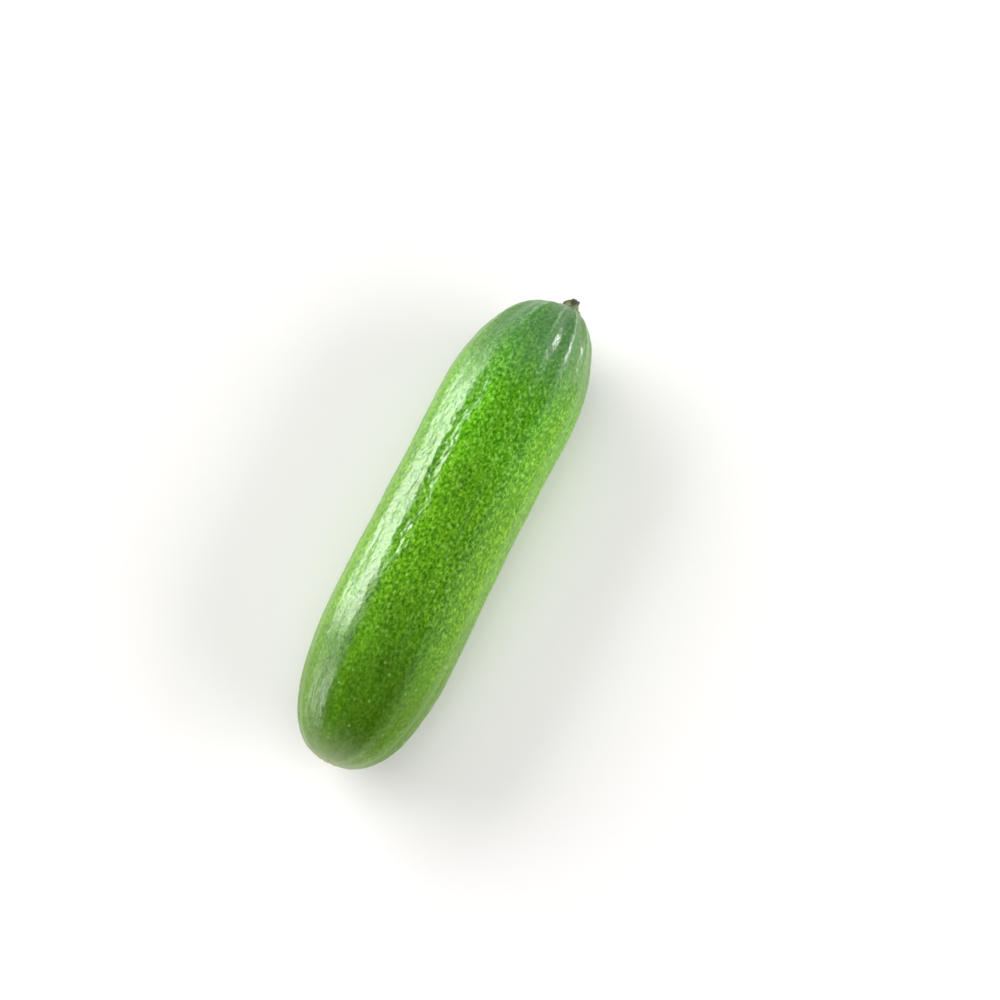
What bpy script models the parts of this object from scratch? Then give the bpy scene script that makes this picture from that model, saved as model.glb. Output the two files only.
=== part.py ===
"""A baby cucumber lying on its side, as picked: the fruit, and the short cut stem at its end.

Metres, +Z up. The fruit runs along X, from its blossom end at -X to its stem end at +X, and rests
on the plane z = 0. The origin is below the middle of the whole thing, on that plane.
"""

import math

import bmesh
import bpy

MM = 0.001

# The fruit's body. A rounded end is a superellipse: its reach is how far in from the tip it takes
# to come to the full radius, and a greater fullness makes a blunter end.
FRUIT_LENGTH = 112.8 * MM
FRUIT_RADIUS = 14.86 * MM
BLOSSOM_REACH = 31.0 * MM
BLOSSOM_FULLNESS = 2.42
STEM_REACH = 30.0 * MM
STEM_FULLNESS = 2.29

# The body swells and narrows gently along its length.
SWELL_SHARE = 0.01
SWELL_CREST = 35 * MM
SWELL_SPACING = 60 * MM

# Both ends drift to -Y of the middle. The stem end nods over further still, and the blossom end
# nods back a little.
BOW_STATION = 60 * MM
END_DRIFT = 1.1 * MM
BOW_POWER = 1.6
STEM_NOD = 2.6 * MM
STEM_NOD_POWER = 2.1
BLOSSOM_NOD = 0.8 * MM
BLOSSOM_NOD_POWER = 2.0

# Three seed chambers make the section very slightly three-sided, with a flatter side down.
LOBES = 3
LOBE_SHARE = 0.006

# Shallow ribs run from end to end, strongest on the stem's shoulder. They are unevenly spaced: each
# shift has how many times it comes round the fruit, its size and its start.
RIBS = 12
RIB_START = -1.28
RIB_SHIFTS = [(2, 0.6, 1.1), (3, 0.5, 0.4)]
RIB_HEIGHT = 0.16 * MM
SHOULDER_RIB_HEIGHT = 0.26 * MM
SHOULDER_START = 34 * MM
SHOULDER_FULL = 9 * MM

# Two sets of long, low waves wind round the skin: each has its share of the height, its length,
# its turns round the fruit and its start.
WAVE_HEIGHT = 0.07 * MM
WAVES = [(0.6, 27.0 * MM, 2, 0.0), (0.4, 14.6 * MM, -3, 1.0)]

# Towards either tip, this many times the share of the full radius scales the relief down.
RELIEF_RISE = 1.6

# The blossom tip is slightly flattened, and its scar is a low corky ring round a small pit.
TIP_FLATTENING = 0.35 * MM
TIP_FLAT_RADIUS = 3.5 * MM
SCAR_RADIUS = 2.2 * MM
SCAR_RING_WIDTH = 0.6 * MM
SCAR_RING_HEIGHT = 0.2 * MM
SCAR_PIT_RADIUS = 0.8 * MM
SCAR_PIT_DEPTH = 0.35 * MM

# The stem end draws out into a low neck, which falls off upwards by this much per length, with a
# shallow hollow beside it at +Y. The stem's root sits in a socket in the neck, with its floor this
# far from the plain end.
NECK_HEIGHT = 0.8 * MM
NECK_RADIUS = 3.9 * MM
NECK_FALL = 0.25
HOLLOW_DEPTH = 0.5 * MM
HOLLOW_RADIUS = 3.7 * MM
HOLLOW_WIDTH = 1.3 * MM
SOCKET_RADIUS = 2.1 * MM
SOCKET_RIM_RADIUS = 2.6 * MM
SOCKET_FLOOR = -0.35 * MM
GAP = 0.3 * MM

# The underside is cut off level this far up, which leaves a narrow flat strip to rest on.
FLAT_DEPTH = 0.3 * MM

# The stem: half of its outline from the root's middle, over the cut rim, to the pith's middle.
# Each point is a height above the root and a radius.
STEM_OUTLINE = [
    (0.0 * MM, 0.0 * MM),
    (0.0 * MM, 0.9 * MM),
    (0.0 * MM, 1.45 * MM),
    (0.15 * MM, 1.62 * MM),
    (0.45 * MM, 1.72 * MM),
    (0.8 * MM, 1.68 * MM),
    (1.15 * MM, 1.62 * MM),
    (1.45 * MM, 1.62 * MM),
    (1.66 * MM, 1.6 * MM),
    (1.7 * MM, 1.38 * MM),
    (1.5 * MM, 0.95 * MM),
    (1.2 * MM, 0.5 * MM),
    (1.15 * MM, 0.0 * MM),
]
STEM_HEIGHT = max(height for height, radius in STEM_OUTLINE)
STEM_ANGLES = 5
STEM_RIDGE_SHARE = 0.08
STEM_RIDGE_START = 1.5 * MM

# The cut slants: it is furthest out on the underside and at -Y, and nearly level with the fruit on
# top and at +Y. It is also cupped, by this much per length squared.
STEM_CUT_FALL = 0.92
STEM_CUT_SIDE_FALL = 0.39
STEM_CUT_CUP = 0.075 / MM

# The stem leans this far to +Y at its cut.
STEM_LEAN = 0.25 * MM

# How finely the surfaces are divided.
FRUIT_SEGMENTS = 60
BLOSSOM_RINGS = 22
MIDDLE_RINGS = 14
STEM_RINGS = 26
FRUIT_RINGS = BLOSSOM_RINGS + MIDDLE_RINGS + STEM_RINGS
TIP_CROWDING = 1.5
STEM_SEGMENTS = 40

# Colours and finishes: colour, roughness.
SKIN_FINISH = ((0.09, 0.24, 0.02, 1.0), 0.3)
STEM_FINISH = ((0.16, 0.17, 0.05, 1.0), 0.7)


def clear_scene():
    for thing in list(bpy.data.objects):
        bpy.data.objects.remove(thing)


def plain_material(name, finish):
    colour, roughness = finish
    material = bpy.data.materials.new(name)
    material.use_nodes = True
    shader = material.node_tree.nodes["Principled BSDF"]
    shader.inputs["Base Color"].default_value = colour
    shader.inputs["Roughness"].default_value = roughness
    shader.inputs["Metallic"].default_value = 0.0
    return material


def smooth_step(start, end, value):
    """0 before start and 1 after end, with a smooth rise between them."""
    share = min(max((value - start) / (end - start), 0.0), 1.0)
    return share * share * (3 - 2 * share)


def bell(value, width):
    """A smooth bump: 1 at zero, and nearly nothing past twice the width."""
    return math.exp(-((value / width) ** 2))


def end_arc(share, reach, fullness):
    """A point on a rounded end: its distance in from the tip, and its share of the full radius."""
    angle = math.pi / 2 * share**TIP_CROWDING
    inward = reach * (1 - max(math.cos(angle), 0.0) ** (2 / fullness))
    return inward, math.sin(angle) ** (2 / fullness)


def fruit_ring(ring):
    """A ring's station along the fruit, and its share of the full radius."""
    if ring <= BLOSSOM_RINGS:
        return end_arc(ring / BLOSSOM_RINGS, BLOSSOM_REACH, BLOSSOM_FULLNESS)
    if ring >= BLOSSOM_RINGS + MIDDLE_RINGS:
        share = (FRUIT_RINGS - ring) / STEM_RINGS
        inward, rounding = end_arc(share, STEM_REACH, STEM_FULLNESS)
        return FRUIT_LENGTH - inward, rounding
    straight = FRUIT_LENGTH - BLOSSOM_REACH - STEM_REACH
    return BLOSSOM_REACH + straight * (ring - BLOSSOM_RINGS) / MIDDLE_RINGS, 1.0


def body_radius(station):
    """The plain body's radius, without its rounded ends."""
    swell = math.cos(2 * math.pi * (station - SWELL_CREST) / SWELL_SPACING)
    return FRUIT_RADIUS * (1 + SWELL_SHARE * swell)


def sideways(station, rounding):
    """How far the fruit's middle line stands off to +Y."""
    drift = END_DRIFT * abs((station - BOW_STATION) / BOW_STATION) ** BOW_POWER
    if station > BOW_STATION:
        return -drift - STEM_NOD * (1 - rounding) ** STEM_NOD_POWER
    return -drift + BLOSSOM_NOD * (1 - rounding) ** BLOSSOM_NOD_POWER


def rib(turn):
    """The ribs' profile round the fruit, from -1 in a groove to 1 on a crest."""
    shift = sum(size * math.sin(times * turn + start) for times, size, start in RIB_SHIFTS)
    return math.cos(RIBS * turn + RIB_START + shift)


def rib_height(station):
    from_stem = FRUIT_LENGTH - station
    shoulder = 1 - smooth_step(SHOULDER_FULL, SHOULDER_START, from_stem)
    return RIB_HEIGHT + (SHOULDER_RIB_HEIGHT - RIB_HEIGHT) * shoulder


def waves(station, turn):
    """Low waves in the skin, from -1 to 1."""
    return sum(
        share * math.sin(2 * math.pi * station / length + times * turn + start)
        for share, length, times, start in WAVES
    )


def fruit_radius(station, rounding, turn):
    # The turn is measured from +Y towards +Z, so the bottom is at -90 degrees.
    lobe = LOBE_SHARE * math.cos(LOBES * (turn + math.pi / 2 + math.pi / LOBES))
    plain = body_radius(station) * rounding * (1 + lobe)
    relief = rib_height(station) * rib(turn) + WAVE_HEIGHT * waves(station, turn)
    return plain + relief * min(1.0, RELIEF_RISE * rounding)


def tip_relief(station, radius, turn):
    """How far the blossom scar, or the neck and its socket, stand out along X."""
    if station < FRUIT_LENGTH / 2:
        ring = SCAR_RING_HEIGHT * bell(radius - SCAR_RADIUS, SCAR_RING_WIDTH)
        pit = SCAR_PIT_DEPTH * bell(radius, SCAR_PIT_RADIUS)
        return TIP_FLATTENING * bell(radius, TIP_FLAT_RADIUS) + pit - ring
    neck = NECK_HEIGHT - NECK_FALL * radius * math.sin(turn)
    neck *= 1 - smooth_step(SOCKET_RIM_RADIUS, NECK_RADIUS, radius)
    neck -= HOLLOW_DEPTH * bell(radius - HOLLOW_RADIUS, HOLLOW_WIDTH) * (1 + math.cos(turn)) / 2
    wall = smooth_step(SOCKET_RADIUS, SOCKET_RIM_RADIUS, radius)
    return neck * wall + SOCKET_FLOOR * (1 - wall)


def fruit_point(ring, turn):
    """A point of the skin, from its ring and its angle round the fruit."""
    station, rounding = fruit_ring(ring)
    radius = fruit_radius(station, rounding, turn) if rounding > 0 else 0.0
    x = station + tip_relief(station, body_radius(station) * rounding, turn)
    y = sideways(station, rounding) + radius * math.cos(turn)
    z = body_radius(station) - FLAT_DEPTH + radius * math.sin(turn)
    return x, y, max(z, 0.0)


def stem_point(ring, turn):
    """A point of the stem, which grows along its own +Z from its root."""
    height, radius = STEM_OUTLINE[ring]
    ridges = STEM_RIDGE_SHARE * smooth_step(0.0, STEM_RIDGE_START, height)
    radius *= 1 + ridges * math.cos(STEM_ANGLES * turn)
    x = radius * math.cos(turn)
    y = radius * math.sin(turn)
    # The stem's own +X turns to point down.
    share = height / STEM_HEIGHT
    slant = STEM_CUT_FALL * x - STEM_CUT_SIDE_FALL * y + STEM_CUT_CUP * x**2
    return x, y + STEM_LEAN * share, height + slant * share


def drawn_out_ball(name, segments, rings, point_at, material, collection):
    """A closed body: a ball whose every vertex goes where point_at puts its ring and turn."""
    body = bmesh.new()
    bmesh.ops.create_uvsphere(body, u_segments=segments, v_segments=rings, radius=1.0)
    for vertex in body.verts:
        x, y, z = vertex.co
        ring = round(math.acos(min(max(-z, -1.0), 1.0)) / math.pi * rings)
        turn = round(math.atan2(y, x) / (2 * math.pi) * segments) * 2 * math.pi / segments
        vertex.co = point_at(ring, turn)
    if body.calc_volume(signed=True) < 0:
        bmesh.ops.reverse_faces(body, faces=body.faces)
    mesh = bpy.data.meshes.new(name)
    body.to_mesh(mesh)
    body.free()
    mesh.shade_smooth()
    mesh.materials.append(material)
    piece = bpy.data.objects.new(name, mesh)
    collection.objects.link(piece)
    return piece


def build_fruit(collection):
    material = plain_material("skin", SKIN_FINISH)
    return drawn_out_ball(
        "fruit", FRUIT_SEGMENTS, FRUIT_RINGS, fruit_point, material, collection
    )


def build_stem(collection):
    material = plain_material("cut_stem", STEM_FINISH)
    rings = len(STEM_OUTLINE) - 1
    stem = drawn_out_ball("stem_stub", STEM_SEGMENTS, rings, stem_point, material, collection)
    socket_middle = sideways(FRUIT_LENGTH, SOCKET_RADIUS / FRUIT_RADIUS)
    height = body_radius(FRUIT_LENGTH) - FLAT_DEPTH
    stem.location = (FRUIT_LENGTH + SOCKET_FLOOR + GAP, socket_middle, height)
    # The stem's own +Z turns to point along +X.
    stem.rotation_euler = (0.0, math.pi / 2, 0.0)
    return stem


def middle_of(pieces):
    """The middle of the pieces' box, along X and Y."""
    corners = [piece.matrix_world @ vertex.co for piece in pieces for vertex in piece.data.vertices]
    return [
        (min(corner[axis] for corner in corners) + max(corner[axis] for corner in corners)) / 2
        for axis in (0, 1)
    ]


def build_cucumber():
    clear_scene()
    collection = bpy.data.collections.new("baby_cucumber")
    bpy.context.scene.collection.children.link(collection)
    pieces = [build_fruit(collection), build_stem(collection)]
    bpy.context.view_layer.update()
    middle_x, middle_y = middle_of(pieces)
    root = bpy.data.objects.new("baby_cucumber_origin", None)
    collection.objects.link(root)
    root.location = (-middle_x, -middle_y, 0.0)
    for piece in pieces:
        piece.parent = root
    bpy.context.view_layer.update()


build_cucumber()
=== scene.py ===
"""Looks of the baby cucumber: its skin, its cut stem, the pale floor, the studio light and the camera."""

import math

import bpy
import numpy as np
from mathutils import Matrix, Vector, noise


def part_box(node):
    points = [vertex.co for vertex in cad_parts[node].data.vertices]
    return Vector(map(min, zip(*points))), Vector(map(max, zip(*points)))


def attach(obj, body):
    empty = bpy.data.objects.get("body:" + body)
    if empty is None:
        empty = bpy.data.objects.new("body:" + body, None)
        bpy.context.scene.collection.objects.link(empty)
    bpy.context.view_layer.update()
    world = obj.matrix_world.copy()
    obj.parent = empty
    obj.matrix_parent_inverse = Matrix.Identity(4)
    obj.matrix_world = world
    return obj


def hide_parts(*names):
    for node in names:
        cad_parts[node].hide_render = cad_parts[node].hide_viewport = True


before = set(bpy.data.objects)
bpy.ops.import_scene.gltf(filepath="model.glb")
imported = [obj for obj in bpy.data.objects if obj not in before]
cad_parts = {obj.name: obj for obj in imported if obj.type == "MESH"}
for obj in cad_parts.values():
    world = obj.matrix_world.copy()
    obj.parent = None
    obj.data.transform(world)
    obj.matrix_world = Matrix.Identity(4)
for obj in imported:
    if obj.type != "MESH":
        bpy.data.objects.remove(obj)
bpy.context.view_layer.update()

MM = 0.001

# The fruit's body, as in the source of its solids. A rounded end is a superellipse.
FRUIT_LENGTH = 112.8 * MM
FRUIT_RADIUS = 14.86 * MM
BLOSSOM_REACH = 31.0 * MM
BLOSSOM_FULLNESS = 2.42
STEM_REACH = 30.0 * MM
STEM_FULLNESS = 2.29
SWELL_SHARE = 0.01
SWELL_CREST = 35 * MM
SWELL_SPACING = 60 * MM
BOW_STATION = 60 * MM
END_DRIFT = 1.1 * MM
BOW_POWER = 1.6
STEM_NOD = 2.6 * MM
STEM_NOD_POWER = 2.1
BLOSSOM_NOD = 0.8 * MM
BLOSSOM_NOD_POWER = 2.0
LOBES = 3
LOBE_SHARE = 0.006
RIBS = 12
RIB_START = -1.28
RIB_SHIFTS = [(2, 0.6, 1.1), (3, 0.5, 0.4)]
RIB_HEIGHT = 0.16 * MM
SHOULDER_RIB_HEIGHT = 0.26 * MM
SHOULDER_START = 34 * MM
SHOULDER_FULL = 9 * MM
WAVE_HEIGHT = 0.07 * MM
WAVES = [(0.6, 27.0 * MM, 2, 0.0), (0.4, 14.6 * MM, -3, 1.0)]
RELIEF_RISE = 1.6
TIP_FLATTENING = 0.35 * MM
TIP_FLAT_RADIUS = 3.5 * MM
SCAR_RADIUS = 2.2 * MM
SCAR_RING_WIDTH = 0.6 * MM
SCAR_RING_HEIGHT = 0.2 * MM
SCAR_PIT_RADIUS = 0.8 * MM
SCAR_PIT_DEPTH = 0.35 * MM
NECK_HEIGHT = 0.8 * MM
NECK_RADIUS = 3.9 * MM
NECK_FALL = 0.25
HOLLOW_DEPTH = 0.5 * MM
HOLLOW_RADIUS = 3.7 * MM
HOLLOW_WIDTH = 1.3 * MM
NECK_TOP_RADIUS = 2.2 * MM
SOCKET_RADIUS = 2.1 * MM
FLAT_DEPTH = 0.3 * MM

# Finer relief, which only this script adds: each layer's length along the fruit, its width round
# it, and its height. Each layer reads the noise at its own place.
RELIEF_LAYERS = [
    (13.0 * MM, 2.1 * MM, 0.10 * MM),
    (2.2 * MM, 1.0 * MM, 0.05 * MM),
    (0.9 * MM, 0.75 * MM, 0.055 * MM),
]
RELIEF_PLACES_APART = 5.3

# Creases: a groove that runs along the fruit, with a ridge on its inner side. Each has its angle
# round the fruit, its height, and the stations between which it runs. It wanders sideways in waves,
# given by their size and their length over 2 pi, and comes and goes in short strokes.
CREASES = [
    (math.radians(72.5), 0.42 * MM, 38 * MM, 92 * MM),
    (math.radians(118), 0.05 * MM, 30 * MM, 90 * MM),
    (math.radians(-62), 0.07 * MM, 20 * MM, 80 * MM),
    (math.radians(215), 0.07 * MM, 35 * MM, 95 * MM),
]
CREASE_WIDTH = 1.05 * MM
CREASE_FADE = 9 * MM
CREASE_WANDERS = [(0.6 * MM, 5 * MM), (0.35 * MM, 1.9 * MM)]
CREASE_STROKE = 1.7 * MM
CREASE_STRENGTH = 0.55

# The low bumps where the spines were, in rows from near one end to near the other.
SPINE_HEIGHT = 0.05 * MM
SPINE_RADIUS = 0.55 * MM
SPINE_ROWS = 11
SPINES_PER_ROW = 8
SPINES_FROM_BLOSSOM = 8 * MM
SPINES_FROM_STEM = 10 * MM
SPINE_SCATTER_ALONG = 0.45
SPINE_SCATTER_ROUND = 0.4
WEAKEST_SPINE = 0.3

# The small cracks round the blossom scar.
SCAR_CRACKS = 9
SCAR_CRACK_SHARE = 0.25
SCAR_CRACK_SWAY = 1.5

# The stem's outline: heights above its root and radii, from the foot to the middle of the pith.
STEM_OUTLINE = [
    (0.0 * MM, 2.3 * MM),
    (0.35 * MM, 2.1 * MM),
    (0.7 * MM, 1.9 * MM),
    (1.0 * MM, 1.72 * MM),
    (1.25 * MM, 1.62 * MM),
    (1.5 * MM, 1.62 * MM),
    (1.66 * MM, 1.6 * MM),
    (1.7 * MM, 1.4 * MM),
    (1.5 * MM, 0.95 * MM),
    (1.2 * MM, 0.5 * MM),
    (1.1 * MM, 0.0 * MM),
]
STEM_HEIGHT = max(height for height, radius in STEM_OUTLINE)
STEM_FOOT_RADIUS = STEM_OUTLINE[0][1]
STEM_ANGLES = 5
STEM_RIDGE_SHARE = 0.08
STEM_RIDGE_START = 1.5 * MM
STEM_CUT_FALL = 0.92
STEM_CUT_SIDE_FALL = 0.39
STEM_CUT_CUP = 0.075 / MM
STEM_LEAN = 0.25 * MM
STEM_JAG_HEIGHT = 0.12 * MM
STEM_JAGS = 7
STEM_JAG_SWAY = 3
STEM_FIBRES = 27
STEM_FIBRE_SWAY = 2
STEM_FIBRE_HEIGHT = 0.035 * MM

# The direction in which the hollow of the cut lies from its middle: shares down and sideways.
HOLLOW_DIRECTION = (0.6, -0.8)

# How pale the skin is round the fruit: angles from +Y towards +Z, in degrees, and shares. Over the skin's
# own tone, this paints light and shade as it fell: a painted shade band runs just past the top, with a
# painted light stripe on its +Y side, painted shade under the shine at 52 degrees, and flanks made paler
# by painted side light.
TONES_AND_PAINTED_LIGHT_ROUND = [
    (-60, 1.15), (0, 1.25), (38, 1.27), (52, 1.08), (64, 1.18), (76, 1.47), (84, 1.2), (95, 1.05),
    (110, 0.92), (122, 0.94), (135, 1.02), (147, 1.12), (180, 1.1), (240, 1.1),
]
POLE_TONE = 1.1

# The bands' edges wander in waves of this many degrees each. A wave has its length over 2 pi, how
# many times it comes round the fruit, and its start.
TONE_WANDER = 2.5
TONE_WAVES = [(4.1 * MM, 3, 0), (2.3 * MM, -5, 1), (9 * MM, 1, 2)]

# Towards the blossom end, painted light makes the left flank paler and painted shade makes the right one
# darker, by up to these shares.
LEFT_PAINTED_LIGHT = 0.3
RIGHT_PAINTED_SHADE = 0.1
PAINTED_SIDE_LIGHT_START = 62 * MM
PAINTED_SIDE_LIGHT_FULL = 25 * MM

# The flanks begin and are full where the skin faces this much sideways.
FLANK_START = 0.55
FLANK_FULL = 0.95

# A distance past any on the fruit.
FAR = 1.0

# The skin's mottle, from its dark flecks to its light ones, with a touch of blue in the lightest that is
# painted sparkle. All colours are in linear light, and each noise has its waves in a millimetre, its
# detail and its roughness.
MOTTLE_AND_SPARKLE = [
    (0.34, (0.018, 0.105, 0.000)),
    (0.43, (0.042, 0.174, 0.000)),
    (0.50, (0.076, 0.240, 0.000)),
    (0.58, (0.122, 0.325, 0.006)),
    (0.68, (0.208, 0.460, 0.042)),
]
FINE_STRETCH = 1.35
FLECK_NOISE = (1.5, 3.0, 0.7)
NET_CELLS_PER_MM = 1.5
NET_SHARE = 0.15
PATCH_STRETCH = 3.5
PATCH_NOISE = (0.25, 3.0, 0.5)
PATCH_CONTRAST = 0.35
EDGE_WANDER = 18.0
NOISE_MIDDLE = 0.5

# Tints multiply the mottle, and greens are mixed into it by a share. The blossom end's darker tint is
# painted shade and the middle's lighter tint painted light, as the light fell along the fruit. The
# blue-green at the stem is partly the skin's bloom and partly a painted reflection. On the flanks, the
# yellower tint is painted side light and the flat green a painted sheen. The spans are the stations in
# millimetres over which each comes in, and over which the mottle's contrast does.
BLOSSOM_PAINTED_SHADE = (0.60, 0.54, 1.2)
BLOSSOM_PAINTED_SHADE_SPAN = (48.0, 8.0)
MIDDLE_PAINTED_LIGHT = (1.03, 1.16, 2.5)
MIDDLE_PAINTED_LIGHT_SPAN = (56.0, 82.0)
STEM_BLOOM_AND_REFLECTION = (0.070, 0.148, 0.082)
STEM_BLOOM_AND_REFLECTION_SHARE = 0.62
STEM_BLOOM_AND_REFLECTION_SPAN = (82.0, 104.0)
SOFT_MOTTLE_SPAN = (12.0, 42.0)
SOFT_MOTTLE_CONTRAST = 0.55
FLANK_PAINTED_LIGHT = (1.3, 1.02, 1.0)
FLANK_PAINTED_SHEEN = (0.155, 0.35, 0.042)
FLANK_PAINTED_SHEEN_SHARE = 0.2

# What lies over the mottle: pale lines on the rib crests near the stem, which are painted highlights,
# specks and dots, and the corky scar with its pit. The spans are distances from the end's middle in
# millimetres, and each edge is where a pattern's own value starts and ends its rise.
CREST_HIGHLIGHT_GREEN = (0.36, 0.56, 0.33)
CREST_HIGHLIGHT_SHARE = 0.62
CREST_HIGHLIGHT_SPAN = (15.0, 9.0)
CREST_HIGHLIGHT_EDGE = (1.05, 1.36)
CREST_HIGHLIGHT_UNEVENNESS = 0.5
SPECK_GREEN = (0.26, 0.48, 0.14)
SPECK_SHARE = 0.4
SPECK_EDGE = (0.16, 0.07)
SPECKS_PER_MM = 0.42
DOT_GREEN = (0.42, 0.60, 0.22)
DOT_SHARE = 0.34
DOT_EDGE = (0.35, 0.8)
TIP_GREEN = (0.30, 0.41, 0.17)
TIP_GREEN_SHARE = 0.75
TIP_GREEN_SPAN = (13.0, 5.0)
CORK_COLOURS = ((0.24, 0.29, 0.09), (0.56, 0.63, 0.32))
CORK_SPAN = (4.9, 3.2)
CORK_ROUGHNESS = 0.8
CORK_NOISE = (2.6, 3.0, 0.5)
RAGGEDNESS = 2.6
RAG_NOISE = (1.1, 3.0, 0.5)
PIT_BROWN = (0.05, 0.035, 0.015)
PIT_SPAN = (0.9, 0.35)

# The skin's gloss: a soft base under a thin wax coat, whose fine stipple breaks up the shine.
SKIN_ROUGHNESS = (0.34, 0.46)
SKIN_ROUGHNESS_SPAN = (0.3, 0.7)
SKIN_IOR = 1.38
SKIN_SPECULAR = 0.2
WAX_WEIGHT = 0.35
WAX_ROUGHNESS = 0.22
PORE_DEPTH = 0.10 * MM
PORE_STRENGTH = 0.55
STIPPLE_NOISE = (2.3, 1.5, 0.6)
STIPPLE_DEPTH = 0.055 * MM

# The stem's colours, each from dark to light, and where along its outline they change.
STEM_SIDE = ((0.035, 0.075, 0.012), (0.20, 0.26, 0.07))
STEM_RIM = ((0.022, 0.017, 0.006), (0.10, 0.08, 0.03))
STEM_CUT = ((0.10, 0.12, 0.02), (0.34, 0.40, 0.12))
STEM_HOLLOW = (0.025, 0.025, 0.008)
STEM_HOLLOW_SPAN = (0.0, 0.6)
RIM_SPAN = (0.42, 0.6)
CUT_SPAN = (0.72, 0.8)
STEM_STRETCH = 3.0
STEM_NOISE = (2.2, 4.0, 0.6)
STEM_GRAIN_DEPTH = 0.12 * MM
STEM_GRAIN_STRENGTH = 0.7
STEM_ROUGHNESS = 0.62

# The table. It is wide enough for the camera never to see past its edges.
FLOOR_SIZE = 6.0
FLOOR_WHITE = (0.90, 0.885, 0.875, 1.0)
FLOOR_ROUGHNESS = 0.9
FLOOR_SPECULAR = 0.1

# Soft panels round the fruit: name, bearing and elevation in degrees, distance, size and
# brightness. The first kind is only mirrored in the skin, and the second only lights it.
SHINE_PANELS = [
    ("left_shine", 79.0, 8.5, 0.7, (0.22, 0.19), 41.0),
    ("far_left_shine", 117.0, 8.5, 0.7, (0.36, 0.22), 15.5),
    ("stem_shine", -41.0, 10.5, 0.7, (0.06, 0.08), 270.0),
]
FILL_PANELS = [
    ("left_fill", 80.0, 28.0, 0.8, (0.8, 0.5), 5.5),
    ("right_fill", -85.0, 22.0, 0.8, (0.9, 0.5), 5.1),
    ("near_fill", 190.0, 35.0, 0.9, (0.8, 0.5), 1.1),
    ("overhead", 40.0, 82.0, 0.9, (0.9, 0.9), 1.3),
]

# The studio's grey, from its walls to its ceiling. A height is 0 at the horizon and 1 overhead.
STUDIO_GREYS = [(0.35, 0.22), (0.75, 0.03)]

# How finely the surfaces are divided.
FRUIT_SEGMENTS = 300
BLOSSOM_RINGS = 80
MIDDLE_RINGS = 170
STEM_RINGS = 80
TIP_CROWDING = 1.3
STEM_SEGMENTS = 160
STEM_STEPS = 9

# The camera looks down on the fruit. It aims at a point beside it, so that the fruit lies left of
# the picture's middle and a little below it.
CAMERA_HEADING = math.radians(26.03)
CAMERA_ELEVATION = math.radians(75)
CAMERA_DISTANCE = 598.6 * MM
CAMERA_AIM = Vector((8.98 * MM, -7.98 * MM, 15 * MM))
CAMERA_LENS = 100.0
SENSOR_WIDTH = 36.0
CAMERA_NEAR_LIMIT = 10 * MM

SEED = 7
RANDOM = np.random.default_rng(SEED)


def smooth_step(start, end, value):
    """0 before start and 1 after end, with a smooth rise between them."""
    share = np.clip((value - start) / (end - start), 0.0, 1.0)
    return share * share * (3 - 2 * share)


def bell(value, width):
    """A smooth bump: 1 at zero, and nearly nothing past twice the width."""
    return np.exp(-((value / width) ** 2))


def end_arc(shares, reach, fullness):
    """Points on a rounded end: their distance in from the tip, and their share of the radius."""
    angles = math.pi / 2 * shares**TIP_CROWDING
    inward = reach * (1 - np.clip(np.cos(angles), 0.0, 1.0) ** (2 / fullness))
    return inward, np.sin(angles) ** (2 / fullness)


def fruit_rings():
    """Every ring's station along the fruit, and its share of the full radius."""
    inward, rounding = end_arc(
        np.arange(1, BLOSSOM_RINGS) / BLOSSOM_RINGS, BLOSSOM_REACH, BLOSSOM_FULLNESS
    )
    stem_inward, stem_rounding = end_arc(
        np.arange(STEM_RINGS - 1, 0, -1) / STEM_RINGS, STEM_REACH, STEM_FULLNESS
    )
    middle = np.linspace(BLOSSOM_REACH, FRUIT_LENGTH - STEM_REACH, MIDDLE_RINGS + 1)
    stations = np.concatenate([inward, middle, FRUIT_LENGTH - stem_inward])
    roundings = np.concatenate([rounding, np.ones(MIDDLE_RINGS + 1), stem_rounding])
    return stations, roundings


def body_radius(station):
    """The plain body's radius, without its rounded ends."""
    swell = np.cos(2 * math.pi * (station - SWELL_CREST) / SWELL_SPACING)
    return FRUIT_RADIUS * (1 + SWELL_SHARE * swell)


def sideways(station, rounding):
    """How far the fruit's middle line stands off to +Y."""
    drift = END_DRIFT * np.abs((station - BOW_STATION) / BOW_STATION) ** BOW_POWER
    stem_nod = STEM_NOD * (1 - rounding) ** STEM_NOD_POWER
    blossom_nod = BLOSSOM_NOD * (1 - rounding) ** BLOSSOM_NOD_POWER
    return -drift + np.where(station > BOW_STATION, -stem_nod, blossom_nod)


def rib(turn):
    """The ribs' profile round the fruit, from -1 in a groove to 1 on a crest."""
    shift = sum(size * np.sin(times * turn + start) for times, size, start in RIB_SHIFTS)
    return np.cos(RIBS * turn + RIB_START + shift)


def rib_height(station):
    from_stem = FRUIT_LENGTH - station
    shoulder = 1 - smooth_step(SHOULDER_FULL, SHOULDER_START, from_stem)
    return RIB_HEIGHT + (SHOULDER_RIB_HEIGHT - RIB_HEIGHT) * shoulder


def waves(station, turn):
    """Low waves in the skin, from -1 to 1."""
    return sum(
        share * np.sin(2 * math.pi * station / length + times * turn + start)
        for share, length, times, start in WAVES
    )


def fine_relief(points):
    """Layers of smooth noise at each point, drawn out along the fruit."""
    relief = np.zeros(points.shape[:-1])
    for number, (length, width, height) in enumerate(RELIEF_LAYERS):
        places = (points / (length, width, width) + RELIEF_PLACES_APART * number).reshape(-1, 3)
        layer = np.array([noise.noise(place) for place in places])
        relief += height * layer.reshape(relief.shape)
    return relief


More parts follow.
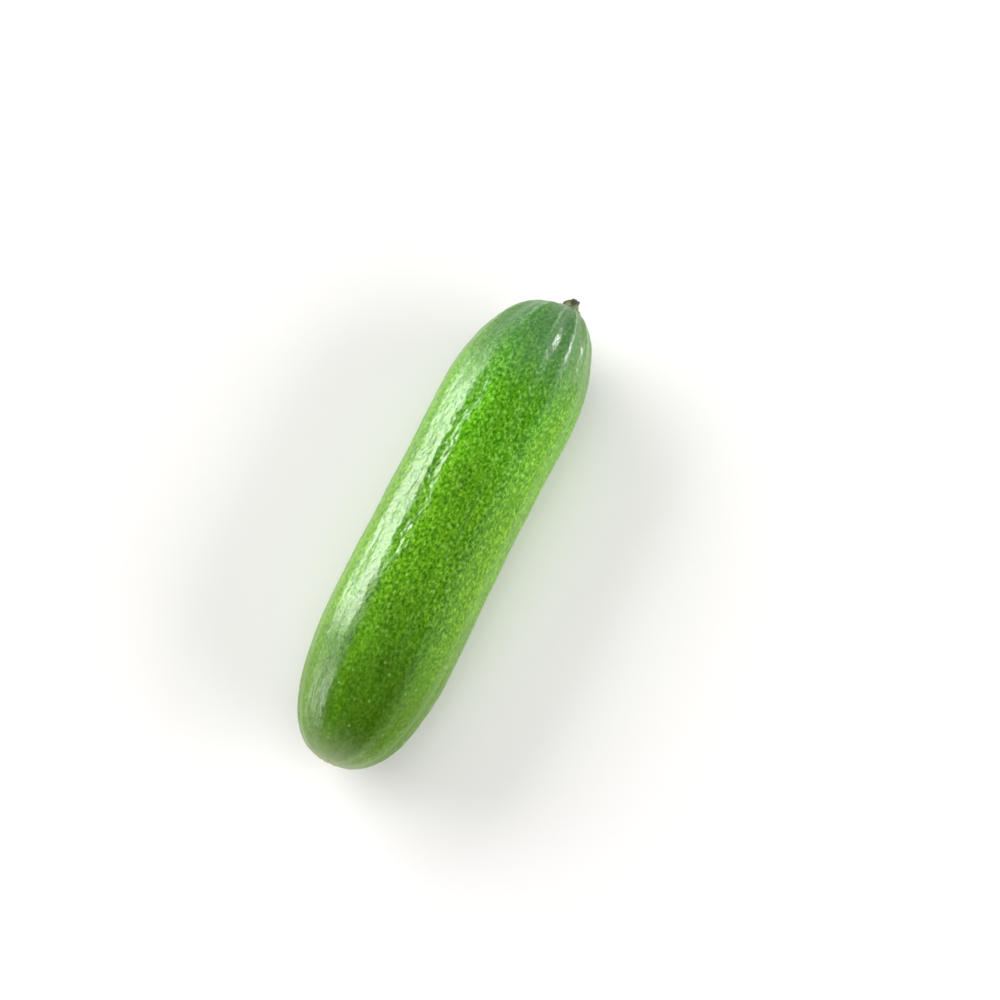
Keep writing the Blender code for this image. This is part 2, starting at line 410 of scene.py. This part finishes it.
def broken_up(station, across):
    """A share that comes and goes along a crease, in short slanting strokes."""
    flat = np.zeros(station.shape)
    places = np.stack([station / CREASE_STROKE, across / CREASE_WIDTH, flat], axis=-1).reshape(-1, 3)
    strokes = np.array([noise.noise(place) for place in places]).reshape(station.shape)
    return np.clip(CREASE_STRENGTH + strokes, 0.0, 1.0)


def crease_relief(station, turn):
    """The creases: a groove on the outer side of each, and a ridge on its inner side."""
    relief = np.zeros(turn.shape)
    for angle, height, start, end in CREASES:
        inward = 1 if math.cos(angle) > 0 else -1
        across = inward * ((turn - angle + math.pi) % (2 * math.pi) - math.pi) * FRUIT_RADIUS
        across = across + sum(size * np.sin(station / length) for size, length in CREASE_WANDERS)
        profile = across / CREASE_WIDTH * np.exp((1 - (across / CREASE_WIDTH) ** 2) / 2)
        along = smooth_step(start, start + CREASE_FADE, station)
        along = along * (1 - smooth_step(end - CREASE_FADE, end, station))
        relief += height * profile * along * broken_up(station, across)
    return relief


def tone_and_painted_light_round(station, turn):
    """How pale the skin is at each point, with its painted light and shade, and the bands' edges
    wandering along the fruit.
    """
    angles, shares = zip(*TONES_AND_PAINTED_LIGHT_ROUND)
    wander = sum(
        np.sin(station / length + times * turn + start) for length, times, start in TONE_WAVES
    )
    tone_and_painted_light = np.interp(np.degrees(turn) + TONE_WANDER * wander, angles, shares, period=360)
    near_blossom = 1 - smooth_step(PAINTED_SIDE_LIGHT_FULL, PAINTED_SIDE_LIGHT_START, station)
    painted_side_light = np.where(np.cos(turn) > 0, LEFT_PAINTED_LIGHT, RIGHT_PAINTED_SHADE)
    return tone_and_painted_light * (1 + painted_side_light * near_blossom * np.cos(turn))


def spine_places():
    """Where the spines were: rows along the fruit, with each spine a little out of place."""
    row, column = np.meshgrid(np.arange(SPINE_ROWS), np.arange(SPINES_PER_ROW), indexing="ij")
    shift_along = RANDOM.uniform(-SPINE_SCATTER_ALONG, SPINE_SCATTER_ALONG, row.shape)
    shift_round = RANDOM.uniform(-SPINE_SCATTER_ROUND, SPINE_SCATTER_ROUND, row.shape)
    strength = RANDOM.uniform(WEAKEST_SPINE, 1.0, row.shape)
    along = (row + 0.5 + shift_along) / SPINE_ROWS
    around = (column + 0.5 * (row % 2) + shift_round) / SPINES_PER_ROW
    station = SPINES_FROM_BLOSSOM + along * (FRUIT_LENGTH - SPINES_FROM_BLOSSOM - SPINES_FROM_STEM)
    return np.stack([station, around * 2 * math.pi, strength], axis=-1).reshape(-1, 3)


def spine_field(station, rounding, turn):
    """1 at the middle of each spine's base, falling to 0 round it."""
    field = np.zeros(turn.shape)
    for place, angle, strength in spine_places():
        apart = (turn - angle + math.pi) % (2 * math.pi) - math.pi
        across = apart * FRUIT_RADIUS * rounding
        distance = np.hypot(station - place, across)
        field = np.maximum(field, strength * bell(distance, SPINE_RADIUS))
    return field


def grid_mesh(name, rings, low_pole, high_pole):
    """A closed mesh from rings of points, listed turn by turn, and a point at each end.

    With no low pole the mesh stays open at its first ring.
    """
    count, segments = rings.shape[:2]
    points = [tuple(point) for point in rings.reshape(-1, 3)]
    faces = []
    for ring in range(count - 1):
        for step in range(segments):
            after = (step + 1) % segments
            low, high = ring * segments, (ring + 1) * segments
            faces.append((low + step, low + after, high + after, high + step))
    if low_pole is not None:
        points.append(tuple(low_pole))
        faces += [((s + 1) % segments, s, len(points) - 1) for s in range(segments)]
    points.append(tuple(high_pole))
    last = (count - 1) * segments
    faces += [(last + s, last + (s + 1) % segments, len(points) - 1) for s in range(segments)]
    mesh = bpy.data.meshes.new(name)
    mesh.from_pydata(points, [], faces)
    mesh.shade_smooth()
    return mesh


def keep_values(mesh, name, values):
    """Keep a number at each of the mesh's points, for the material to read."""
    layer = mesh.attributes.new(name, "FLOAT", "POINT")
    layer.data.foreach_set("value", np.asarray(values, np.float32).ravel())


def make_piece(name, mesh, material, node):
    piece = bpy.data.objects.new(name, mesh)
    bpy.context.scene.collection.objects.link(piece)
    mesh.materials.append(material)
    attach(piece, "root")
    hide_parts(node)


def tip_relief(station, radius, turn):
    """How far the blossom scar, or the neck at the stem, stands out along X."""
    cracks = np.cos(SCAR_CRACKS * turn + SCAR_CRACK_SWAY * np.sin(2 * turn))
    uneven = 1 - SCAR_CRACK_SHARE + SCAR_CRACK_SHARE * cracks
    ring = SCAR_RING_HEIGHT * uneven * bell(radius - SCAR_RADIUS, SCAR_RING_WIDTH)
    pit = SCAR_PIT_DEPTH * bell(radius, SCAR_PIT_RADIUS)
    blossom = TIP_FLATTENING * bell(radius, TIP_FLAT_RADIUS) + pit - ring
    neck = NECK_HEIGHT - NECK_FALL * radius * np.sin(turn)
    neck = neck * (1 - smooth_step(NECK_TOP_RADIUS, NECK_RADIUS, radius))
    neck -= HOLLOW_DEPTH * bell(radius - HOLLOW_RADIUS, HOLLOW_WIDTH) * (1 + np.cos(turn)) / 2
    return np.where(station < FRUIT_LENGTH / 2, blossom, neck)


def lobe_share(turn):
    """The section's three low lobes, as shares of the radius. A flatter side faces down."""
    return LOBE_SHARE * np.cos(LOBES * (turn + math.pi / 2 + math.pi / LOBES))


def tip_point(station, depth):
    """The point at one end of the fruit, that far along X from its station."""
    return (station + depth, float(sideways(station, 0.0)), pole_height(station))


def keep_skin_values(mesh, station, turn, plain, spines):
    """The numbers that the skin's material reads, with the values at the two tips last."""
    from_blossom = np.where(station < FRUIT_LENGTH / 2, plain, FAR) / MM
    from_stem = np.where(station > FRUIT_LENGTH / 2, plain, FAR) / MM
    flank = smooth_step(FLANK_START, FLANK_FULL, np.abs(np.cos(turn)))
    for name, values, tips in [
        ("crest", rib(turn), [0.0, 0.0]),
        ("station", station / MM, [0.0, FRUIT_LENGTH / MM]),
        ("tone_and_painted_light", tone_and_painted_light_round(station, turn), [POLE_TONE, POLE_TONE]),
        ("flank", flank, [0.0, 0.0]),
        ("from_blossom", from_blossom, [0.0, FAR / MM]),
        ("from_stem", from_stem, [FAR / MM, 0.0]),
        ("spine", spines, [0.0, 0.0]),
    ]:
        keep_values(mesh, name, np.append(values.ravel(), tips))


def build_fruit(material):
    """The fine skin: the solid's own form, with fine relief, creases and spine bases added.

    Gives the move that laid it over the solid.
    """
    stations, roundings = fruit_rings()
    turns = np.arange(FRUIT_SEGMENTS) * 2 * math.pi / FRUIT_SEGMENTS
    station, turn = np.meshgrid(stations, turns, indexing="ij")
    rounding = np.meshgrid(roundings, turns, indexing="ij")[0]

    plain = body_radius(station) * rounding * (1 + lobe_share(turn))
    relief = rib_height(station) * rib(turn) + WAVE_HEIGHT * waves(station, turn)
    plain_points = np.stack([station, plain * np.cos(turn), plain * np.sin(turn)], axis=-1)
    spines = spine_field(station, rounding, turn)
    relief += fine_relief(plain_points) + crease_relief(station, turn) + SPINE_HEIGHT * spines
    radius = plain + relief * np.minimum(1.0, RELIEF_RISE * rounding)

    x = station + tip_relief(station, plain, turn)
    y = sideways(station, rounding) + radius * np.cos(turn)
    z = np.maximum(body_radius(station) - FLAT_DEPTH + radius * np.sin(turn), 0.0)
    rings = np.stack([x, y, z], axis=-1)

    shift = place_in_frame(rings)
    blossom_tip = np.array(tip_point(0.0, TIP_FLATTENING + SCAR_PIT_DEPTH)) + shift
    stem_tip = np.array(tip_point(FRUIT_LENGTH, NECK_HEIGHT)) + shift
    mesh = grid_mesh("fruit_skin", rings + shift, blossom_tip, stem_tip)
    keep_skin_values(mesh, station, turn, plain, spines)
    make_piece("fruit_skin", mesh, material, "fruit")
    return shift


def pole_height(station):
    """The height of the fruit's middle line above the floor."""
    return float(body_radius(station)) - FLAT_DEPTH


def place_in_frame(rings):
    """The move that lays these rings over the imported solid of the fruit."""
    low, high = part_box("fruit")
    own_low = rings.reshape(-1, 3).min(axis=0)
    own_high = rings.reshape(-1, 3).max(axis=0)
    middle_y = (low.y + high.y) / 2 - (own_low[1] + own_high[1]) / 2
    return np.array([low.x - own_low[0], middle_y, 0.0])


def stem_profile():
    """The stem's outline as a smooth curve through its points: heights and radii."""
    points = np.array(STEM_OUTLINE)
    padded = np.vstack([2 * points[0] - points[1], points, 2 * points[-1] - points[-2]])
    curve = []
    for step in range(len(points) - 1):
        before, start, end, after = padded[step : step + 4]
        for share in np.arange(STEM_STEPS) / STEM_STEPS:
            bend = 2 * start - 2 * end + (end - before) / 2 + (after - start) / 2
            ease = -3 * start + 3 * end - (end - before) - (after - start) / 2
            curve.append(start + (end - before) / 2 * share + ease * share**2 + bend * share**3)
    return np.array(curve)


def angled_radius(height, radius, turn):
    """The stem's radius, with its blunt angles and the fine fibres up its side."""
    ridges = STEM_RIDGE_SHARE * smooth_step(0.0, STEM_RIDGE_START, height)
    fibres = np.cos(STEM_FIBRES * turn + STEM_FIBRE_SWAY * np.sin(3 * turn))
    fibre_share = STEM_FIBRE_HEIGHT / STEM_FOOT_RADIUS * fibres
    return radius * (1 + ridges * np.cos(STEM_ANGLES * turn) + fibre_share)


def cut_slant(down, side):
    """How far out the slanting, cupped cut stands at each place on it."""
    return STEM_CUT_FALL * down - STEM_CUT_SIDE_FALL * side + STEM_CUT_CUP * down**2


def cut_jags(share, turn, down):
    """The unevenness of the cut's edge, which fades down the stem."""
    jags = np.sin(STEM_JAGS * turn + STEM_JAG_SWAY * np.sin(2 * turn))
    return STEM_JAG_HEIGHT * share**3 * jags * down / STEM_FOOT_RADIUS


def build_stem(material, shift):
    """The cut stem: five blunt angles, fine fibres up its side, and a slanting cut with its pith."""
    profile = stem_profile()
    turns = np.arange(STEM_SEGMENTS) * 2 * math.pi / STEM_SEGMENTS
    height, turn = np.meshgrid(profile[:, 0], turns, indexing="ij")
    radius = np.meshgrid(profile[:, 1], turns, indexing="ij")[0]
    radius = angled_radius(height, radius, turn)
    down = radius * np.cos(turn)
    side = radius * np.sin(turn)
    share = np.maximum(height, 0.0) / STEM_HEIGHT

    low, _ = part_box("stem_stub")
    middle_y = sideways(FRUIT_LENGTH, SOCKET_RADIUS / FRUIT_RADIUS) + shift[1]
    middle_z = pole_height(FRUIT_LENGTH)
    x = low.x + height + cut_slant(down, side) * share + cut_jags(share, turn, down)
    y = middle_y + side + STEM_LEAN * share
    rings = np.stack([x, y, middle_z - down], axis=-1)
    pith_height = STEM_OUTLINE[-1][0]
    pith_lean = STEM_LEAN * pith_height / STEM_HEIGHT
    pith = (low.x + pith_height, middle_y + pith_lean, middle_z)
    mesh = grid_mesh("cut_stem", rings, None, pith)

    along = np.repeat(np.arange(len(profile)) / len(profile), STEM_SEGMENTS)
    hollow = (HOLLOW_DIRECTION[0] * down + HOLLOW_DIRECTION[1] * side) / MM
    keep_values(mesh, "along", np.append(along, 1.0))
    keep_values(mesh, "hollow", np.append(hollow.ravel(), 0.0))
    make_piece("cut_stem", mesh, material, "stem_stub")


class Graph:
    """A short way to write a material's nodes."""

    # The places of a mix node's two inputs and its output, for numbers and for colours.
    NUMBER_INPUTS = (2, 3)
    NUMBER_OUTPUT = 0
    COLOUR_INPUTS = (6, 7)
    COLOUR_OUTPUT = 2

    def __init__(self, name):
        self.material = bpy.data.materials.new(name)
        self.material.use_nodes = True
        self.tree = self.material.node_tree
        self.shader = self.tree.nodes["Principled BSDF"]

    def add(self, kind, settings=None, **inputs):
        """A node with its settings, and its inputs set to a value or linked to a socket."""
        node = self.tree.nodes.new("ShaderNode" + kind)
        for key, value in (settings or {}).items():
            setattr(node, key, value)
        for key, value in inputs.items():
            self.put(node.inputs[key.replace("_", " ")], value)
        return node

    def put(self, socket, value):
        if isinstance(value, bpy.types.NodeSocket):
            self.tree.links.new(value, socket)
        else:
            socket.default_value = value

    def object_mm(self, stretch):
        """The place on the piece in millimetres, squeezed along the fruit to draw patterns out."""
        place = self.add("TexCoord").outputs["Object"]
        scale = (1 / MM / stretch, 1 / MM, 1 / MM)
        return self.add("Mapping", Vector=place, Scale=scale).outputs["Vector"]

    def value(self, name):
        """A number that the mesh keeps at its points."""
        return self.add("Attribute", {"attribute_name": name}).outputs["Fac"]

    def noise(self, place, scale, detail, roughness):
        node = self.add("TexNoise", Vector=place, Scale=scale, Detail=detail, Roughness=roughness)
        return node.outputs["Fac"]

    def cells(self, place, scale):
        """The distance to the nearest of many scattered points."""
        return self.add("TexVoronoi", Vector=place, Scale=scale).outputs["Distance"]

    def math(self, operation, first, second):
        node = self.add("Math", {"operation": operation})
        self.put(node.inputs[0], first)
        self.put(node.inputs[1], second)
        return node.outputs[0]

    def span(self, value, low, high, to_low=0.0, to_high=1.0):
        """A smooth step of a value from one span to another."""
        node = self.add("MapRange", {"interpolation_type": "SMOOTHSTEP"}, Value=value)
        self.put(node.inputs["From Min"], low)
        self.put(node.inputs["From Max"], high)
        self.put(node.inputs["To Min"], to_low)
        self.put(node.inputs["To Max"], to_high)
        return node.outputs[0]

    def ramp(self, value, stops):
        """Colours at places along a value from 0 to 1."""
        node = self.add("ValToRGB", Fac=value)
        ramp = node.color_ramp
        while len(ramp.elements) < len(stops):
            ramp.elements.new(0.5)
        for element, (place, colour) in zip(ramp.elements, stops):
            element.position = place
            element.color = (*colour, 1.0)
        return node.outputs["Color"]

    def grey(self, value):
        """A number as a grey colour."""
        return self.add("CombineColor", Red=value, Green=value, Blue=value).outputs["Color"]

    def mix(self, share, first, second, blend="MIX"):
        """A mix of two colours, or a blend of the second over the first."""
        node = self.add("Mix", {"data_type": "RGBA", "blend_type": blend}, Factor=share)
        for place, colour in zip(self.COLOUR_INPUTS, (first, second)):
            linked = isinstance(colour, bpy.types.NodeSocket)
            self.put(node.inputs[place], colour if linked else (*colour, 1.0))
        return node.outputs[self.COLOUR_OUTPUT]

    def mix_numbers(self, share, first, second):
        node = self.add("Mix", {"data_type": "FLOAT"}, Factor=share)
        for place, number in zip(self.NUMBER_INPUTS, (first, second)):
            self.put(node.inputs[place], number)
        return node.outputs[self.NUMBER_OUTPUT]

    def bump(self, height, distance, strength=1.0):
        node = self.add("Bump", Height=height, Distance=distance, Strength=strength)
        return node.outputs["Normal"]


def skin_mottle(skin, grain, patches):
    """Dark green flecks in a lighter net, softer at the blossom end and paler in patches, under the
    painted light and shade round the fruit.
    """
    contrast = skin.span(skin.value("station"), *SOFT_MOTTLE_SPAN, SOFT_MOTTLE_CONTRAST, 1.0)
    depth = skin.math("MULTIPLY", skin.math("SUBTRACT", grain, NOISE_MIDDLE), contrast)
    mottle = skin.ramp(skin.math("ADD", depth, NOISE_MIDDLE), MOTTLE_AND_SPARKLE)
    patchy = skin.math("MULTIPLY", patches, PATCH_CONTRAST)
    tone_and_painted_light = skin.math("ADD", skin.value("tone_and_painted_light"), patchy)
    return skin.mix(1.0, mottle, skin.grey(tone_and_painted_light), "MULTIPLY")


def tint_and_painted_light(skin, green, patches):
    """Darker towards the blossom end in painted shade, lighter in the middle in painted light, grey
    blue-green at the stem (partly bloom, partly a painted reflection), and yellower on the flanks in
    painted side light and sheen.
    """
    wander = skin.math("MULTIPLY", patches, EDGE_WANDER)
    place = skin.math("ADD", skin.value("station"), wander)
    darker = skin.mix(1.0, green, BLOSSOM_PAINTED_SHADE, "MULTIPLY")
    green = skin.mix(skin.span(place, *BLOSSOM_PAINTED_SHADE_SPAN), green, darker)
    lighter = skin.mix(1.0, green, MIDDLE_PAINTED_LIGHT, "MULTIPLY")
    green = skin.mix(skin.span(place, *MIDDLE_PAINTED_LIGHT_SPAN), green, lighter)
    bloom_and_reflection = skin.mix(STEM_BLOOM_AND_REFLECTION_SHARE, green, STEM_BLOOM_AND_REFLECTION)
    green = skin.mix(skin.span(place, *STEM_BLOOM_AND_REFLECTION_SPAN), green, bloom_and_reflection)
    yellower = skin.mix(1.0, green, FLANK_PAINTED_LIGHT, "MULTIPLY")
    yellower = skin.mix(FLANK_PAINTED_SHEEN_SHARE, yellower, FLANK_PAINTED_SHEEN)
    return skin.mix(skin.value("flank"), green, yellower)


def lined_skin(skin, green, grain, fine):
    """Painted highlights as pale lines along the rib crests near the stem, small pale specks, and a dot
    on each spine's base.
    """
    # The pale lines along the crests near the stem are painted highlights.
    near_stem = skin.span(skin.value("from_stem"), *CREST_HIGHLIGHT_SPAN)
    unevenness = skin.math("MULTIPLY", grain, CREST_HIGHLIGHT_UNEVENNESS)
    line = skin.span(skin.math("ADD", skin.value("crest"), unevenness), *CREST_HIGHLIGHT_EDGE)
    line = skin.math("MULTIPLY", line, skin.math("MULTIPLY", near_stem, CREST_HIGHLIGHT_SHARE))
    green = skin.mix(line, green, CREST_HIGHLIGHT_GREEN)
    speck = skin.span(skin.cells(fine, SPECKS_PER_MM), *SPECK_EDGE)
    green = skin.mix(skin.math("MULTIPLY", speck, SPECK_SHARE), green, SPECK_GREEN)
    dot = skin.span(skin.value("spine"), *DOT_EDGE)
    return skin.mix(skin.math("MULTIPLY", dot, DOT_SHARE), green, DOT_GREEN)


def blossom_tip(skin, green, fine):
    """The blossom tip: grey green, then a corky tan scar with a small dark pit.

    Gives the skin's colour and where it is cork.
    """
    out = skin.value("from_blossom")
    rags = skin.math("MULTIPLY", skin.noise(fine, *RAG_NOISE), RAGGEDNESS)
    ragged = skin.math("ADD", out, rags)
    paler = skin.math("MULTIPLY", skin.span(ragged, *TIP_GREEN_SPAN), TIP_GREEN_SHARE)
    green = skin.mix(paler, green, TIP_GREEN)
    cork = skin.span(ragged, *CORK_SPAN)
    cork_grain = skin.noise(fine, *CORK_NOISE)
    green = skin.mix(cork, green, skin.mix(cork_grain, *CORK_COLOURS))
    return skin.mix(skin.span(out, *PIT_SPAN), green, PIT_BROWN), cork


def wax_gloss(skin, grain, cork, fine):
    """A soft base with fine pores, matt on the cork, under a thin stippled coat of wax."""
    roughness = skin.span(grain, *SKIN_ROUGHNESS_SPAN, *SKIN_ROUGHNESS)
    roughness = skin.mix_numbers(cork, roughness, CORK_ROUGHNESS)
    skin.put(skin.shader.inputs["Roughness"], roughness)
    skin.shader.inputs["IOR"].default_value = SKIN_IOR
    skin.shader.inputs["Specular IOR Level"].default_value = SKIN_SPECULAR
    skin.shader.inputs["Coat Weight"].default_value = WAX_WEIGHT
    skin.shader.inputs["Coat Roughness"].default_value = WAX_ROUGHNESS
    skin.shader.inputs["Coat IOR"].default_value = SKIN_IOR
    skin.put(skin.shader.inputs["Normal"], skin.bump(grain, PORE_DEPTH, PORE_STRENGTH))
    stipple = skin.noise(fine, *STIPPLE_NOISE)
    skin.put(skin.shader.inputs["Coat Normal"], skin.bump(stipple, STIPPLE_DEPTH))


def skin_material():
    """Waxy cucumber skin: mottled green with painted light, shade and sparkle, bluer at the stem partly
    by a painted reflection, and corky tan at the blossom scar.
    """
    skin = Graph("cucumber_skin")
    fine = skin.object_mm(FINE_STRETCH)
    drawn = skin.object_mm(PATCH_STRETCH)
    flecks = skin.math("MULTIPLY", skin.noise(fine, *FLECK_NOISE), 1 - NET_SHARE)
    net = skin.math("MULTIPLY", skin.cells(fine, NET_CELLS_PER_MM), NET_SHARE)
    grain = skin.math("ADD", flecks, net)
    patches = skin.math("SUBTRACT", skin.noise(drawn, *PATCH_NOISE), NOISE_MIDDLE)

    green = skin_mottle(skin, grain, patches)
    green = tint_and_painted_light(skin, green, patches)
    green = lined_skin(skin, green, grain, fine)
    green, cork = blossom_tip(skin, green, fine)
    skin.put(skin.shader.inputs["Base Color"], green)
    wax_gloss(skin, grain, cork, fine)
    return skin.material


def stem_material():
    """The cut stem: fibrous green sides, a brown dried rim, and a dark hollow on one side of it."""
    stem = Graph("cut_stem")
    grain = stem.noise(stem.object_mm(STEM_STRETCH), *STEM_NOISE)
    along = stem.value("along")
    cut = stem.mix(grain, *STEM_CUT)
    inner = stem.mix(stem.span(stem.value("hollow"), *STEM_HOLLOW_SPAN), cut, STEM_HOLLOW)
    side = stem.mix(grain, *STEM_SIDE)
    rim = stem.mix(grain, *STEM_RIM)
    colour = stem.mix(stem.span(along, *RIM_SPAN), side, rim)
    colour = stem.mix(stem.span(along, *CUT_SPAN), colour, inner)
    stem.put(stem.shader.inputs["Base Color"], colour)
    stem.shader.inputs["Roughness"].default_value = STEM_ROUGHNESS
    bumps = stem.bump(grain, STEM_GRAIN_DEPTH, STEM_GRAIN_STRENGTH)
    stem.put(stem.shader.inputs["Normal"], bumps)
    return stem.material


def floor_material():
    """A pale matt table."""
    floor = Graph("pale_floor")
    floor.shader.inputs["Base Color"].default_value = FLOOR_WHITE
    floor.shader.inputs["Roughness"].default_value = FLOOR_ROUGHNESS
    floor.shader.inputs["Specular IOR Level"].default_value = FLOOR_SPECULAR
    return floor.material


def build_floor():
    bpy.ops.mesh.primitive_plane_add(size=FLOOR_SIZE, location=(0.0, 0.0, 0.0))
    floor = bpy.context.object
    floor.name = "floor"
    floor.data.materials.append(floor_material())


def camera_forward():
    """The camera's forward direction."""
    level = math.cos(CAMERA_ELEVATION)
    return Vector(
        (
            math.cos(CAMERA_HEADING) * level,
            math.sin(CAMERA_HEADING) * level,
            -math.sin(CAMERA_ELEVATION),
        )
    )


def build_camera():
    data = bpy.data.cameras.new("camera")
    data.lens = CAMERA_LENS
    data.sensor_width = SENSOR_WIDTH
    data.clip_start = CAMERA_NEAR_LIMIT
    camera = bpy.data.objects.new("camera", data)
    bpy.context.scene.collection.objects.link(camera)
    forward = camera_forward()
    camera.location = CAMERA_AIM - CAMERA_DISTANCE * forward
    camera.rotation_euler = forward.to_track_quat("-Z", "Y").to_euler()
    bpy.context.scene.camera = camera


def soft_light(name, bearing, elevation, distance, size, brightness, shine_only=False):
    """A soft panel that faces the fruit. Its bearing is measured from +X towards +Y.

    One with shine_only is seen in reflections and lights nothing. Any other does the opposite.
    """
    data = bpy.data.lights.new(name, "AREA")
    data.shape = "RECTANGLE"
    data.size, data.size_y = size
    # With this power, a panel of any size looks as bright as asked, where 1 is full white.
    data.energy = brightness * math.pi * size[0] * size[1]
    light = bpy.data.objects.new(name, data)
    bpy.context.scene.collection.objects.link(light)
    bearing, elevation = math.radians(bearing), math.radians(elevation)
    away = Vector(
        (
            math.cos(bearing) * math.cos(elevation),
            math.sin(bearing) * math.cos(elevation),
            math.sin(elevation),
        )
    )
    light.location = away * distance
    light.rotation_euler = (-away).to_track_quat("-Z", "Y").to_euler()
    light.visible_glossy = shine_only
    light.visible_diffuse = not shine_only
    light.visible_camera = False


def build_lights():
    """Panels that the skin mirrors, low on the left and beside the stem, and soft fills."""
    for panel in SHINE_PANELS:
        soft_light(*panel, shine_only=True)
    for panel in FILL_PANELS:
        soft_light(*panel)


def build_world():
    """Studio surroundings: grey walls all round, and darker overhead."""
    world = bpy.data.worlds.new("studio")
    bpy.context.scene.world = world
    world.use_nodes = True
    nodes = world.node_tree.nodes
    links = world.node_tree.links
    place = nodes.new("ShaderNodeTexCoord")
    split = nodes.new("ShaderNodeSeparateXYZ")
    ramp = nodes.new("ShaderNodeValToRGB")
    for element, (height, grey) in zip(ramp.color_ramp.elements, STUDIO_GREYS):
        element.position = height
        element.color = (grey, grey, grey, 1.0)
    links.new(place.outputs["Generated"], split.inputs[0])
    links.new(split.outputs["Z"], ramp.inputs["Fac"])
    links.new(ramp.outputs["Color"], nodes["Background"].inputs["Color"])
    nodes["Background"].inputs["Strength"].default_value = 1.0


bpy.context.scene.view_settings.view_transform = "Standard"
build_camera()
build_lights()
build_world()
build_floor()
fruit_shift = build_fruit(skin_material())
build_stem(stem_material(), fruit_shift)
